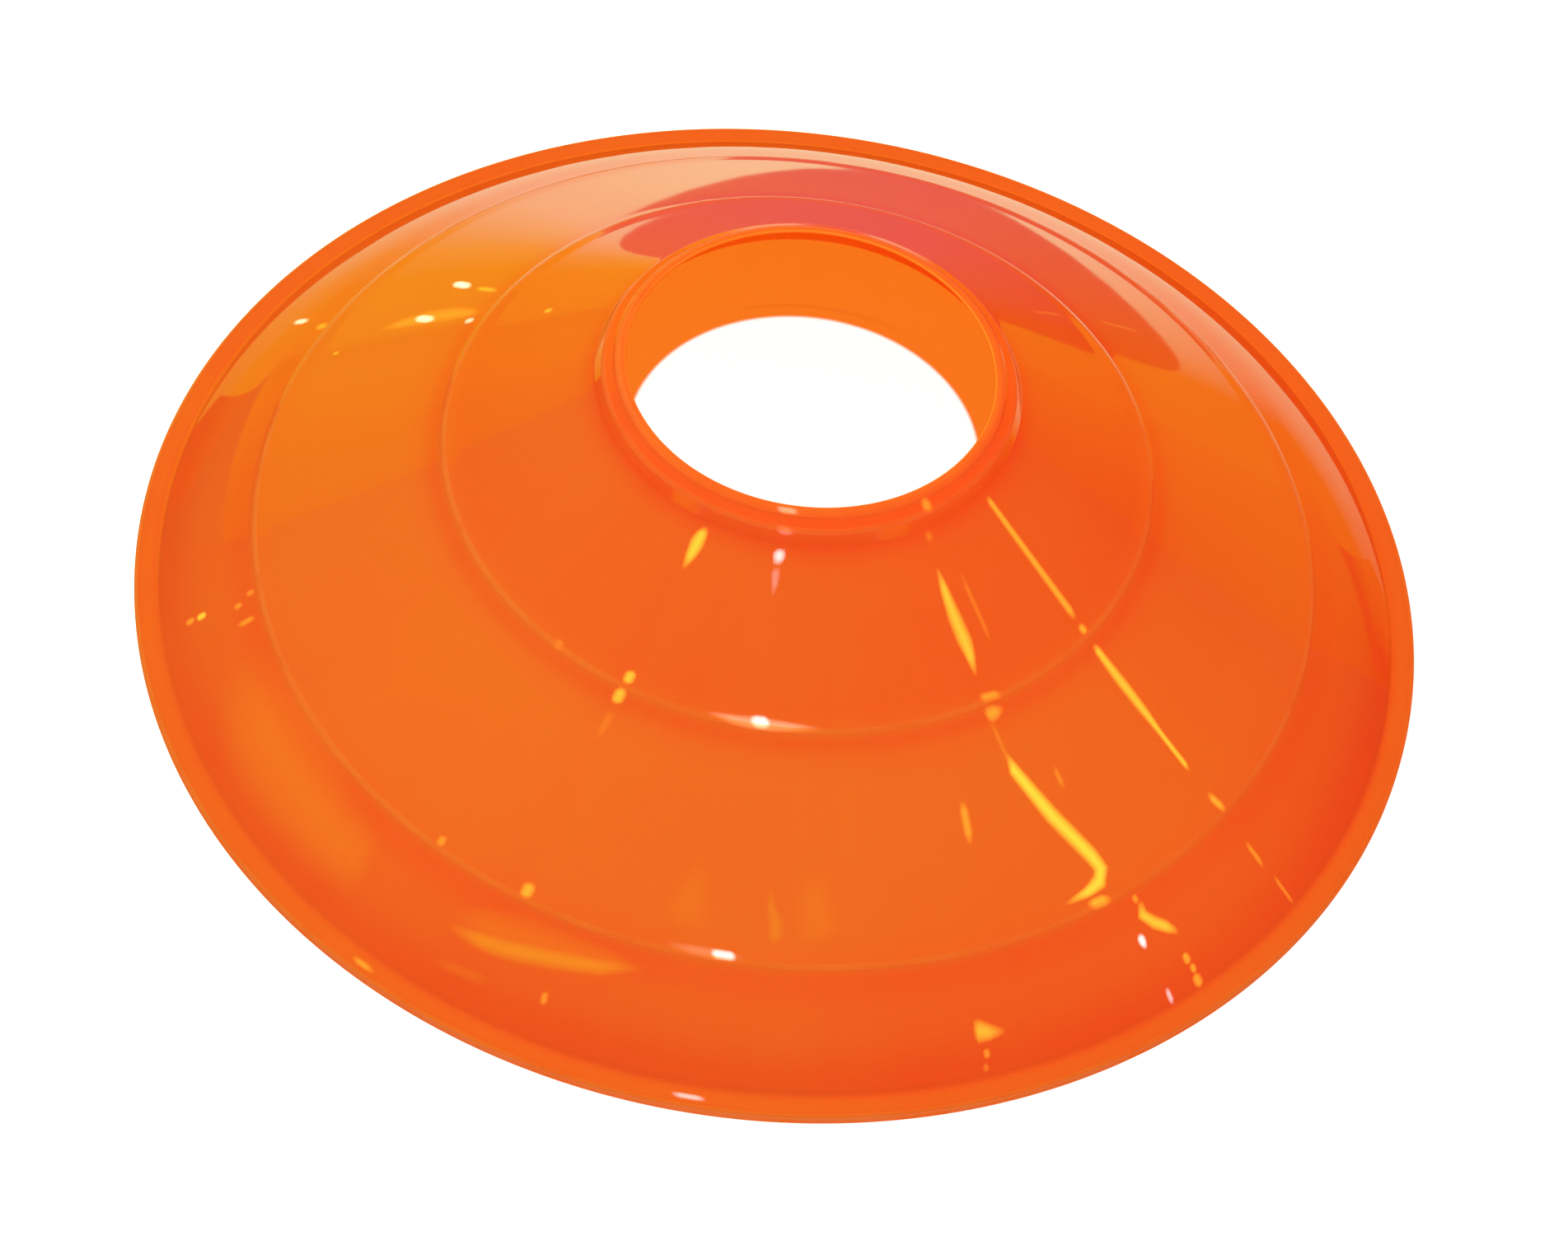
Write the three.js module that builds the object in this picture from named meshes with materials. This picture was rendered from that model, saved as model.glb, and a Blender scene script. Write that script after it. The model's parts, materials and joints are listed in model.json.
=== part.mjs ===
// Saucer cone: a low, flexible field marker moulded in one piece of translucent plastic.
// A beaded lip rings the top hole, the slope is broken by two stiffening rings, and a flat
// flange rests on the ground. The whole wall is one closed section turned about +Z.
// Millimetres, +Z up, with the origin at the centre of the foot, on the ground.

import * as THREE from "three";

// Overall sizes
const baseDiameter = 190;
const totalHeight = 50;
const holeDiameter = 52;
const wallThickness = 1.6;

// Flange that rests on the ground
const flangeWidth = 3.3;
const flangeThickness = 1.7;
const flangeEdgeRadius = 0.5;
const flangeRootRadius = 1.4;

// Lip round the hole: a bead at the edge, a sloping shelf, then a short collar down to the slope
const crownWidth = 1.1;
const beadSideWidth = 0.9;
const beadHeight = 1.25;
const shelfWidth = 1.7;
const shelfFall = 0.8;
const collarWidth = 0.8;
const collarHeight = 1.75;
const beadRadius = 0.8;
const collarRadius = 0.7;

// Stiffening rings: each is a ledge, flatter than the slope, that ends in a short, steeper step
const ledgeWidth = 2.1;
const ledgeFall = 1.33;
const stepWidth = 0.6;
const stepFall = 0.6;
const ledgeRadius = 12;
const crestRadius = 2;
const stepRadius = 3;

// Where each ring starts on the slope, as parts of the way out and of the way down it
const innerRingOut = 0.3023;
const innerRingDown = 0.3034;
const outerRingOut = 0.7369;
const outerRingDown = 0.7209;

// How far the outermost band of the slope swells at its middle, and how round the swell is
const outerBandRise = 0.5;
const outerBandRadius = 60;

// Fineness of the turned surface
const turnSteps = 72;
const arcSteps = 2;
const edgeRoom = 0.45;

const colour = 0xf06e21;
const gloss = 0.18;

const holeRadius = holeDiameter / 2;
const baseRadius = baseDiameter / 2;

// A corner of the section: its distance from the axis, its height and the radius that rounds it
function corner(r, z, radius = 0) {
  return { at: new THREE.Vector2(r, z), radius };
}

// The corner that lies a given way out and down from another
function onward(from, out, down, radius) {
  return corner(from.at.x + out, from.at.y - down, radius);
}

// The middle of the straight between two corners, pushed out square to it
function swell(from, to, rise, radius) {
  const along = to.at.clone().sub(from.at).normalize();
  const middle = from.at.clone().lerp(to.at, 0.5);
  return corner(middle.x - along.y * rise, middle.y + along.x * rise, radius);
}

// Ledge, crest and foot of a stiffening ring
function ring(start) {
  const crest = onward(start, ledgeWidth, ledgeFall, crestRadius);
  const foot = onward(crest, stepWidth, stepFall, stepRadius);
  return [start, crest, foot];
}

// Lip, from the edge of the hole out to the foot of the collar
const holeEdge = corner(holeRadius, totalHeight, beadRadius);
const crownEdge = onward(holeEdge, crownWidth, 0, beadRadius);
const beadFoot = onward(crownEdge, beadSideWidth, beadHeight, collarRadius);
const shelfEdge = onward(beadFoot, shelfWidth, shelfFall, collarRadius);
const collarFoot = onward(shelfEdge, collarWidth, collarHeight, collarRadius);

// Flange, from its root on the slope round to the ground
const flangeRoot = corner(baseRadius - flangeWidth, flangeThickness, flangeRootRadius);
const flangeTop = corner(baseRadius, flangeThickness, flangeEdgeRadius);
const flangeBottom = corner(baseRadius, 0, flangeEdgeRadius);

// Rings, placed on the slope that runs from the collar to the flange
const slopeOut = flangeRoot.at.x - collarFoot.at.x;
const slopeDown = collarFoot.at.y - flangeRoot.at.y;
const innerRing = ring(
  onward(collarFoot, slopeOut * innerRingOut, slopeDown * innerRingDown, ledgeRadius),
);
const outerRing = ring(
  onward(collarFoot, slopeOut * outerRingOut, slopeDown * outerRingDown, ledgeRadius),
);

// The slope's outer line, corner by corner
const slope = [
  collarFoot,
  ...innerRing,
  ...outerRing,
  swell(outerRing.at(-1), flangeRoot, outerBandRise, outerBandRadius),
  flangeRoot,
];

// A straight line through a point
function line(point, along) {
  return { point, along };
}

// Where two straight lines cross
function crossing(one, two) {
  const apart = two.point.clone().sub(one.point);
  const reach = apart.cross(two.along) / one.along.cross(two.along);
  return one.point.clone().addScaledVector(one.along, reach);
}

// The underside: every straight of the slope moved in by the wall, between the hole and the ground
const level = new THREE.Vector2(1, 0);
const upright = new THREE.Vector2(0, 1);
const holeLine = line(new THREE.Vector2(holeRadius, 0), upright);
const ground = line(new THREE.Vector2(0, 0), level);
const insideLines = slope.slice(1).map((end, i) => {
  const along = end.at.clone().sub(slope[i].at).normalize();
  const inward = new THREE.Vector2(along.y, -along.x);
  return line(end.at.clone().addScaledVector(inward, wallThickness), along);
});
const undersideLines = [holeLine, ...insideLines, ground];
const underside = undersideLines.slice(1).map((next, i) => {
  const at = crossing(undersideLines[i], next);
  return corner(at.x, at.y);
});

// Round one corner: an arc that touches both straights, no longer than they leave room for
function rounded(before, middle, after) {
  if (middle.radius === 0) return [middle.at];
  const back = before.at.clone().sub(middle.at);
  const ahead = after.at.clone().sub(middle.at);
  const room = edgeRoom * Math.min(back.length(), ahead.length());
  back.normalize();
  ahead.normalize();
  const halfAngle = Math.acos(back.dot(ahead)) / 2;
  const touch = Math.min(middle.radius / Math.tan(halfAngle), room);
  const arcRadius = touch * Math.tan(halfAngle);
  const start = middle.at.clone().addScaledVector(back, touch);
  const toCentre = back.clone().add(ahead).normalize();
  const centre = middle.at.clone().addScaledVector(toCentre, arcRadius / Math.sin(halfAngle));
  const turn = Math.sign(ahead.cross(back)) * (Math.PI - 2 * halfAngle);
  return Array.from({ length: arcSteps + 1 }, (_, i) =>
    start.clone().rotateAround(centre, (turn * i) / arcSteps),
  );
}

// The closed section: over the outside from the hole to the ground, then back underneath
const outside = [holeEdge, crownEdge, beadFoot, shelfEdge, ...slope, flangeTop, flangeBottom];
const corners = [...outside, ...underside.reverse()];
const section = corners.flatMap((middle, i) =>
  rounded(corners.at(i - 1), middle, corners[(i + 1) % corners.length]),
);
section.push(section[0].clone());

// The lathe turns about Y and wants the section the other way round, so it is laid over to +Z up
const shellGeometry = new THREE.LatheGeometry(section.reverse(), turnSteps);
shellGeometry.rotateX(Math.PI / 2);

const orangePlastic = new THREE.MeshStandardMaterial({
  color: colour,
  roughness: gloss,
  metalness: 0,
});
const coneShell = new THREE.Mesh(shellGeometry, orangePlastic);
coneShell.name = "cone_shell";

const saucerCone = new THREE.Group();
saucerCone.add(coneShell);

export default saucerCone;
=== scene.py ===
# %% [markdown]
# # A saucer cone in translucent orange plastic
# A saucer cone is a low, dished field marker. It is moulded in one piece: a beaded lip round the
# hole, a slope stiffened by two rings, and a flat flange that rests on the ground. This lesson turns
# its wall as one closed section, gives it a glossy translucent plastic, and lights it on a pale floor.
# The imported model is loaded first, because it fixes the frame and the size of everything that follows.

# %% Load the frame
import json
import math

import bmesh
import bpy
from mathutils import Matrix, Quaternion, Vector

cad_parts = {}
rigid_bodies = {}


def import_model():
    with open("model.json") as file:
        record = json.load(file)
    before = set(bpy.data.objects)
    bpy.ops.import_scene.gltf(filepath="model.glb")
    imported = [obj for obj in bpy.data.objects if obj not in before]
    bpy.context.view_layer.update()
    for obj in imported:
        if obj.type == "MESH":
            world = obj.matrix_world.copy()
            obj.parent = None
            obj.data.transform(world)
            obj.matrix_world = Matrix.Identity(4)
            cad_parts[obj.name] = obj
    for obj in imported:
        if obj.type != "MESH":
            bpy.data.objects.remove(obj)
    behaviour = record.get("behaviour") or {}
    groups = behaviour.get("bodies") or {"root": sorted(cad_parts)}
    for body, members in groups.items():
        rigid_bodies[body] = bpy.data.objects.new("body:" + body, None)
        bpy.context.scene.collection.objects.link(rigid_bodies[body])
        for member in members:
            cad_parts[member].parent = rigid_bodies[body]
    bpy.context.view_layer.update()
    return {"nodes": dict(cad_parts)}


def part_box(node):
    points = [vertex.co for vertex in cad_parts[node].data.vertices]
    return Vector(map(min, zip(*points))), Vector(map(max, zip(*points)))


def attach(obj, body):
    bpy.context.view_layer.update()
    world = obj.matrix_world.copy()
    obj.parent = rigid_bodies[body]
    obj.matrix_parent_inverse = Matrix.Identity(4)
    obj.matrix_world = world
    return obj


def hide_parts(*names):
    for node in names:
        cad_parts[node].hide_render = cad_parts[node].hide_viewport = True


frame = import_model()
scene = bpy.context.scene
mm = 0.001

# %% [markdown]
# ## The camera
# The cone is seen from above, at an elevation of about fifty degrees, with a long lens, so its far
# side is only a little smaller than its near side. The picture is tipped: the right side sits lower.
# A camera can be aimed with a Track To constraint, but a constraint can't roll it, so the aim is a
# quaternion and the roll a second turn about the view's own axis. The aim point is set a little
# towards the camera from the cone's centre, which frames the cone with no lens shift.

# %% Make the camera
PICTURE_WIDTH = 1903
FOCAL_PIXELS = 6447
SENSOR_WIDTH = 36.0
CAMERA_ELEVATION = 49.77
CAMERA_DISTANCE = 0.7885
CAMERA_ROLL = math.radians(8.27)
AIM_POINT = Vector((1.3, -4.8, 0.0)) * mm


def direction(azimuth, elevation):
    """A unit vector from the cone; azimuth 0 is towards the camera and grows to the right."""
    turn = math.radians(azimuth)
    lift = math.radians(elevation)
    level = math.cos(lift)
    return Vector((math.sin(turn) * level, -math.cos(turn) * level, math.sin(lift)))


camera_data = bpy.data.cameras.new("camera")
camera_data.sensor_width = SENSOR_WIDTH
camera_data.lens = FOCAL_PIXELS / PICTURE_WIDTH * SENSOR_WIDTH
camera = bpy.data.objects.new("camera", camera_data)
scene.collection.objects.link(camera)
camera.location = direction(0.0, CAMERA_ELEVATION) * CAMERA_DISTANCE
aim = (AIM_POINT - camera.location).to_track_quat("-Z", "Y")
camera.rotation_mode = "QUATERNION"
camera.rotation_quaternion = aim @ Quaternion((0.0, 0.0, 1.0), CAMERA_ROLL)
scene.camera = camera
print("camera lens, mm:", round(camera_data.lens, 1))

# %% [markdown]
# ## The outline of the wall
# The wall is a body of revolution, so one drawing of its section says everything about its shape.
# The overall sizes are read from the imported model. The lip, the rings and the flange are corners
# placed one after the other, each a given way out and down from the last, with the radius that
# rounds it. Drawing corners first and rounding them later keeps every size a plain number.

# %% Read the overall sizes
shell_low, shell_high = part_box("cone_shell")
BASE_RADIUS = shell_high.x
TOTAL_HEIGHT = shell_high.z
packed_shell = frame["nodes"]["cone_shell"].data
HOLE_RADIUS = round(min(vertex.co.xy.length for vertex in packed_shell.vertices), 6)
WALL = 1.6 * mm
print("base radius, mm:", round(BASE_RADIUS / mm, 2))
print("hole radius, mm:", round(HOLE_RADIUS / mm, 2))

# %% Place one corner after another


class Corner:
    """A corner of the section: its place as (distance from the axis, height) and its radius."""

    def __init__(self, place, radius=0.0):
        self.place = Vector(place)
        self.radius = radius

    def onward(self, out, down, radius):
        """The next corner, a given way out and down from this one."""
        return Corner(self.place + Vector((out, -down)), radius)


# Way out, way down and radius of each corner after the edge of the hole, in mm
LIP = {
    "crown_edge": (1.1, 0.0, 0.8),
    "bead_shoulder": (0.6, 0.4, 0.8),
    "bead_foot": (0.35, 0.45, 0.7),
    "shelf_edge": (1.4, 0.75, 1.2),
    "collar_foot": (1.05, 2.2, 0.7),
}
HOLE_EDGE_RADIUS = 0.8 * mm

lip = [Corner((HOLE_RADIUS, TOTAL_HEIGHT), HOLE_EDGE_RADIUS)]
for out, down, radius in LIP.values():
    lip.append(lip[-1].onward(out * mm, down * mm, radius * mm))
collar_foot = lip.pop()
print("height of the lip, mm:", round((TOTAL_HEIGHT - collar_foot.place.y) / mm, 2))

# %% Draw the flange and the rings
FLANGE_WIDTH = 3.3 * mm
FLANGE_THICKNESS = 1.7 * mm
FLANGE_EDGE_RADIUS = 0.5 * mm
FLANGE_ROOT_RADIUS = 1.4 * mm
LEDGE_WIDTH = 2.1 * mm
LEDGE_FALL = 1.33 * mm
LEDGE_RADIUS = 12 * mm
CREST_RADIUS = 3.4 * mm
STEP_SIZE = 0.6 * mm
STEP_RADIUS = 3 * mm
BAND_RISE = 0.5 * mm
BAND_RADIUS = 60 * mm
# Where each ring starts, as parts of the way out and of the way down the slope
INNER_RING = (0.3023, 0.3034)
OUTER_RING = (0.7369, 0.7209)


def swell(start, end):
    """The middle of a band, pushed out square to it, so that the band is slightly round."""
    along = (end.place - start.place).normalized()
    middle = start.place.lerp(end.place, 0.5)
    return Corner(middle + Vector((-along.y, along.x)) * BAND_RISE, BAND_RADIUS)


def stiffening_ring(out_share, down_share):
    """A ledge, flatter than the slope, that ends in a short, steeper step."""
    start = collar_foot.onward(slope_out * out_share, -slope_up * down_share, LEDGE_RADIUS)
    crest = start.onward(LEDGE_WIDTH, LEDGE_FALL, CREST_RADIUS)
    return [start, crest, crest.onward(STEP_SIZE, STEP_SIZE, STEP_RADIUS)]


flange_top = Corner((BASE_RADIUS, FLANGE_THICKNESS), FLANGE_EDGE_RADIUS)
flange_bottom = Corner((BASE_RADIUS, 0.0), FLANGE_EDGE_RADIUS)
flange_root = Corner((BASE_RADIUS - FLANGE_WIDTH, FLANGE_THICKNESS), FLANGE_ROOT_RADIUS)
slope_out, slope_up = flange_root.place - collar_foot.place
slope = [collar_foot, *stiffening_ring(*INNER_RING), *stiffening_ring(*OUTER_RING)]
slope += [swell(slope[-1], flange_root), flange_root]
print("corners of the slope:", len(slope))

# %% [markdown]
# ## The underside
# The wall has one thickness, as a moulding has, so each straight of the slope is moved in by the
# wall and the moved lines are crossed with their neighbours. A Solidify modifier could do this, but
# it would copy the lip's bead to the underside, which is smooth on the real part. The wall of the
# hole leans back under the bead, so from above only a thin, dark line of it shows.

# %% Find the corners of the underside
HOLE_LEAN = math.radians(33)
INSIDE_RADIUS = 1.0 * mm
SHARP_RADIUS = 0.3 * mm


def crossing(point, along, other_point, other_along):
    """Where two straight lines in the section cross."""
    apart = other_point - point
    reach = apart.cross(other_along) / along.cross(other_along)
    return point + along * reach


hole_along = Vector((math.sin(HOLE_LEAN), -math.cos(HOLE_LEAN)))
lines = [(Vector((HOLE_RADIUS, TOTAL_HEIGHT)), hole_along)]
for start, end in zip(slope, slope[1:]):
    along = (end.place - start.place).normalized()
    lines.append((end.place + Vector((along.y, -along.x)) * WALL, along))
lines.append((Vector((0.0, 0.0)), Vector((1.0, 0.0))))
underside = [Corner(crossing(*one, *two), INSIDE_RADIUS) for one, two in zip(lines, lines[1:])]
underside[0].radius = SHARP_RADIUS
underside[-1].radius = SHARP_RADIUS
underside[-2].radius = BAND_RADIUS
corners = lip + slope + [flange_top, flange_bottom] + underside[::-1]
print("corners round the section:", len(corners))

# %% [markdown]
# ## Rounding the section
# Every corner becomes an arc that touches both of its straights. Each point also remembers how proud
# it stands, which is how sharply the outline turns outwards there: crests, the lip and the flange's
# edge are what rubs on the ground and on other cones, so that number is where the wear will go. The
# dye also turns paler there, partly as wear and partly as a painted sheen on the crests.
# A straight gets a few points of its own near its ends. Without them the smooth shading of the arcs
# would spread over the whole band and bend its reflections.

# %% Round each corner
STEPS_PER_RADIAN = 9
EDGE_ROOM = 0.45
FEWEST_STEPS = 3
SUPPORTS = (0.06, 0.35, 0.65, 0.94)
FULL_WEAR_TURN = 0.22
WORN_RADIUS = 5 * mm


def rounded(before, corner, after):
    """The points of one corner's arc, each with its wear from 0 to 1."""
    back = before.place - corner.place
    ahead = after.place - corner.place
    room = EDGE_ROOM * min(back.length, ahead.length)
    back.normalize()
    ahead.normalize()
    half_angle = back.angle(ahead) / 2
    touch = min(corner.radius / math.tan(half_angle), room)
    arc_radius = touch * math.tan(half_angle)
    centre = corner.place + (back + ahead).normalized() * (arc_radius / math.sin(half_angle))
    turn = math.pi - 2 * half_angle
    inwards = ahead.cross(back) > 0
    proud = not inwards and corner.radius < WORN_RADIUS
    wear = min(1.0, turn / FULL_WEAR_TURN) if proud else 0.0
    steps = max(FEWEST_STEPS, round(turn * STEPS_PER_RADIAN))
    spoke = corner.place + back * touch - centre
    points = []
    for step in range(steps + 1):
        angle = (turn if inwards else -turn) * step / steps
        points.append((centre + Matrix.Rotation(angle, 2) @ spoke, wear))
    return points


section = []
for index, corner in enumerate(corners):
    arc = rounded(corners[index - 1], corner, corners[(index + 1) % len(corners)])
    if section:
        last, last_wear = section[-1]
        edge_wear = min(last_wear, arc[0][1])
        section += [(last.lerp(arc[0][0], share), edge_wear) for share in SUPPORTS]
    section += arc
print("points round the section:", len(section))

# %% [markdown]
# ## Turning the section
# Blender's spin operator sweeps an edge loop about an axis, as a lathe does. The section is drawn as
# a closed wire, with its wear number kept in a vertex layer that the spin copies along, and the last
# turn is merged with the first, so the shell comes out closed.

# %% Spin the shell
TURN_STEPS = 288
WEAR_LAYER = "edge_wear"
MERGE_DISTANCE = 1e-6

shell_bmesh = bmesh.new()
wear_layer = shell_bmesh.verts.layers.float.new(WEAR_LAYER)
wire = []
for point, wear in section:
    vertex = shell_bmesh.verts.new((point.x, 0.0, point.y))
    vertex[wear_layer] = wear
    wire.append(vertex)
wire_edges = [shell_bmesh.edges.new((wire[i - 1], wire[i])) for i in range(len(wire))]
bmesh.ops.spin(
    shell_bmesh,
    geom=wire + wire_edges,
    axis=(0.0, 0.0, 1.0),
    cent=(0.0, 0.0, 0.0),
    angle=math.tau,
    steps=TURN_STEPS,
    use_merge=True,
)
bmesh.ops.remove_doubles(shell_bmesh, verts=shell_bmesh.verts, dist=MERGE_DISTANCE)
bmesh.ops.recalc_face_normals(shell_bmesh, faces=shell_bmesh.faces)
shell_mesh = bpy.data.meshes.new("orange_cone")
shell_bmesh.to_mesh(shell_mesh)
shell_bmesh.free()
shell_mesh.shade_smooth()
cone = bpy.data.objects.new("orange_cone", shell_mesh)
scene.collection.objects.link(cone)
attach(cone, "root")
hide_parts("cone_shell")
print("shell faces:", len(shell_mesh.polygons))

# %% [markdown]
# ## The dye
# The cone is moulded in a bright orange that lets light through but blurs it. One ramp out from the
# hole sets how pale it is, partly as dye and partly as painted light and shade that follow the
# section: painted highlights make the lip's crown, the ring crests and the flange paler, and painted
# shade darkens the collar's foot and a band just outside each ring. The outermost band is deeper and
# redder towards the flange's root, and the melt has left soft clouds and faint lines that run out
# from the hole. One number from 0, deep, to 1, pale, holds all of this, so the colour of the surface
# and the colour of the light that comes through are mixed by the same pattern. A painted shade then
# darkens the whole flange. Object coordinates keep the pattern fixed to the part.

# %% Start the plastic
plastic = bpy.data.materials.new("translucent_orange")
plastic.use_nodes = True
nodes = plastic.node_tree.nodes
links = plastic.node_tree.links
cone.data.materials.append(plastic)


def put(value, socket):
    """Sets a socket to a constant, or links another node's output to it."""
    if isinstance(value, bpy.types.NodeSocket):
        links.new(value, socket)
    else:
        socket.default_value = value


def math_node(operation, *values):
    """A Math node's result."""
    made = nodes.new("ShaderNodeMath")
    made.operation = operation
    for value, socket in zip(values, made.inputs):
        put(value, socket)
    return made.outputs["Value"]


def vector_node(operation, vector, other=None):
    """A Vector Math node."""
    made = nodes.new("ShaderNodeVectorMath")
    made.operation = operation
    put(vector, made.inputs[0])
    if other is not None:
        put(other, made.inputs[1])
    return made


def noise(vector, scale, detail, roughness=0.5):
    """A Noise texture's grey value."""
    made = nodes.new("ShaderNodeTexNoise")
    put(vector, made.inputs["Vector"])
    made.inputs["Scale"].default_value = scale
    made.inputs["Detail"].default_value = detail
    made.inputs["Roughness"].default_value = roughness
    return made.outputs["Fac"]


def ramp(value, stops):
    """A Color Ramp of grey stops, each a position and a value."""
    made = nodes.new("ShaderNodeValToRGB")
    put(value, made.inputs["Fac"])
    elements = made.color_ramp.elements
    while len(elements) < len(stops):
        elements.new(1.0)
    for element, (position, grey) in zip(elements, stops):
        element.position = position
        element.color = (grey, grey, grey, 1.0)
    return made.outputs["Color"]


place = nodes.new("ShaderNodeTexCoord").outputs["Object"]
level_place = vector_node("MULTIPLY", place, (1.0, 1.0, 0.0)).outputs["Vector"]
way_out = math_node("DIVIDE", vector_node("LENGTH", level_place).outputs["Value"], BASE_RADIUS)
way_round = vector_node("NORMALIZE", level_place).outputs["Vector"]
print("nodes that find the place on the cone:", len(nodes))

# %% Mix the dye
# Paleness by the way out: partly dye, partly painted highlights on the lip, crests and flange and
# painted shade at the collar's foot and outside each ring
DYE_AND_PAINTED_LIGHT_STOPS = (
    (0.274, 0.42), (0.280, 0.43), (0.285, 0.44), (0.291, 0.36), (0.2955, 0.30), (0.303, 0.30),
    (0.311, 0.32), (0.3195, 0.20), (0.331, 0.34), (0.345, 0.44), (0.380, 0.46), (0.440, 0.43),
    (0.515, 0.40), (0.530, 0.44), (0.541, 0.50), (0.549, 0.34), (0.556, 0.37), (0.572, 0.52),
    (0.600, 0.58), (0.780, 0.56), (0.805, 0.52), (0.819, 0.50), (0.829, 0.33), (0.846, 0.34),
    (0.870, 0.41), (0.905, 0.39), (0.945, 0.25), (0.960, 0.25), (0.974, 0.43),
)
# Painted shade: the whole flange is darkened
FLANGE_SHADE_STOPS = ((0.955, 1.0), (0.972, 0.87))
RUBBED_STOPS = ((0.35, 0.35), (0.65, 1.0))
CLOUDS = 0.25
FLOW_LINES = 0.12
# How much paler proud edges turn: partly wear, partly a painted sheen on the crests
WEAR_AND_SHEEN = 0.15
SURFACE_DEEP = (0.635, 0.045, 0.010)
SURFACE_PALE = (0.61, 0.205, 0.019)
THROUGH_DEEP = (0.635, 0.12, 0.016)
THROUGH_PALE = (0.61, 0.39, 0.037)

wear_attribute = nodes.new("ShaderNodeAttribute")
wear_attribute.attribute_name = WEAR_LAYER
wear = wear_attribute.outputs["Fac"]
rubbed = ramp(noise(place, scale=140.0, detail=4.0), RUBBED_STOPS)
wear_and_sheen = math_node("MULTIPLY", wear, rubbed)
clouds = math_node("SUBTRACT", noise(place, scale=22.0, detail=2.0), 0.5)
melt = noise(way_round, scale=7.0, detail=5.0, roughness=0.6)
flow_lines = math_node("SUBTRACT", melt, 0.5)
# The ramp paints light and shade into the dye along with its real paleness
pale_and_painted_light = ramp(way_out, DYE_AND_PAINTED_LIGHT_STOPS)
flange_shade = ramp(way_out, FLANGE_SHADE_STOPS)
for pattern, share in ((clouds, CLOUDS), (flow_lines, FLOW_LINES), (wear_and_sheen, WEAR_AND_SHEEN)):
    pale_and_painted_light = math_node("MULTIPLY_ADD", pattern, share, pale_and_painted_light)


def dye(deep, light):
    """A colour mixed from deep to light by the dye and painted light, with a painted shade on the
    flange.
    """
    made = nodes.new("ShaderNodeMix")
    made.data_type = "RGBA"
    put(pale_and_painted_light, made.inputs["Factor"])
    put((*deep, 1.0), made.inputs["A"])
    put((*light, 1.0), made.inputs["B"])
    return vector_node("MULTIPLY", made.outputs["Result"], flange_shade).outputs["Vector"]


surface_colour = dye(SURFACE_DEEP, SURFACE_PALE)
through_colour = dye(THROUGH_DEEP, THROUGH_PALE)
print("nodes in the dye:", len(nodes))

# %% [markdown]
# ## The gloss and the glow
# Light meets the wall in three ways. The gloss mirrors it; the dye scatters it back; and the rest
# comes out on the other side, blurred, which a Translucent shader gives. Subsurface scattering could
# do the last two, but its light isn't carried on to the floor inside the cone. Lamps also shine
# through the wall: seen by a shadow ray, the wall is a clear orange filter, so the floor inside is
# lit orange. Hairline scratches and rubbed edges make the gloss a little rougher in places. The
# wall of the hole gets a copy of the plastic without gloss and in one bright colour: painted light
# that lifts the wall, which stands in shade.

# %% Scratch and bump the surface
GLOSS = 0.045
SCRATCH_ROUGHNESS = 0.05
WORN_ROUGHNESS = 0.5
RIPPLE_DEPTH = 1.5e-6
SCRATCH_DEPTH = 6e-7
SCRATCH_SCALE = (25.0, 1400.0, 25.0)
SCRATCH_STOPS = ((0.70, 0.0), (0.76, 1.0))


def hairlines(turn):
    """Fine scratches that all run one way: a noise that is drawn out along that way."""
    made = nodes.new("ShaderNodeMapping")
    put(place, made.inputs["Vector"])
    made.inputs["Rotation"].default_value = (0.0, 0.0, math.radians(turn))
    made.inputs["Scale"].default_value = SCRATCH_SCALE
    return ramp(noise(made.outputs["Vector"], scale=1.0, detail=1.0), SCRATCH_STOPS)


scratches = math_node("MAXIMUM", hairlines(25.0), hairlines(112.0))
roughness = math_node("MULTIPLY_ADD", scratches, SCRATCH_ROUGHNESS, GLOSS)
roughness = math_node("MULTIPLY_ADD", wear_and_sheen, WORN_ROUGHNESS, roughness)
ripple = nodes.new("ShaderNodeBump")
ripple.inputs["Distance"].default_value = RIPPLE_DEPTH
put(noise(place, scale=240.0, detail=2.0), ripple.inputs["Height"])
scored = nodes.new("ShaderNodeBump")
scored.invert = True
scored.inputs["Distance"].default_value = SCRATCH_DEPTH
put(scratches, scored.inputs["Height"])
put(ripple.outputs["Normal"], scored.inputs["Normal"])
print("nodes with the surface's marks:", len(nodes))

# %% Join the gloss and the glow
THROUGH_SHARE = 0.4
PLASTIC_IOR = 1.5
GLOSS_LEVEL = 0.8
LAMP_FILTER = (0.47, 0.27, 0.05, 1.0)

gloss = nodes["Principled BSDF"]
put(surface_colour, gloss.inputs["Base Color"])
put(roughness, gloss.inputs["Roughness"])
put(scored.outputs["Normal"], gloss.inputs["Normal"])
gloss.inputs["IOR"].default_value = PLASTIC_IOR
gloss.inputs["Specular IOR Level"].default_value = GLOSS_LEVEL
glow = nodes.new("ShaderNodeBsdfTranslucent")
put(through_colour, glow.inputs["Color"])
body = nodes.new("ShaderNodeMixShader")
body.inputs["Fac"].default_value = THROUGH_SHARE
links.new(gloss.outputs["BSDF"], body.inputs[1])
links.new(glow.outputs["BSDF"], body.inputs[2])
lamp_filter = nodes.new("ShaderNodeBsdfTransparent")
lamp_filter.inputs["Color"].default_value = LAMP_FILTER
light_path = nodes.new("ShaderNodeLightPath")
surface = nodes.new("ShaderNodeMixShader")
links.new(light_path.outputs["Is Shadow Ray"], surface.inputs["Fac"])
links.new(body.outputs["Shader"], surface.inputs[1])
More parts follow.
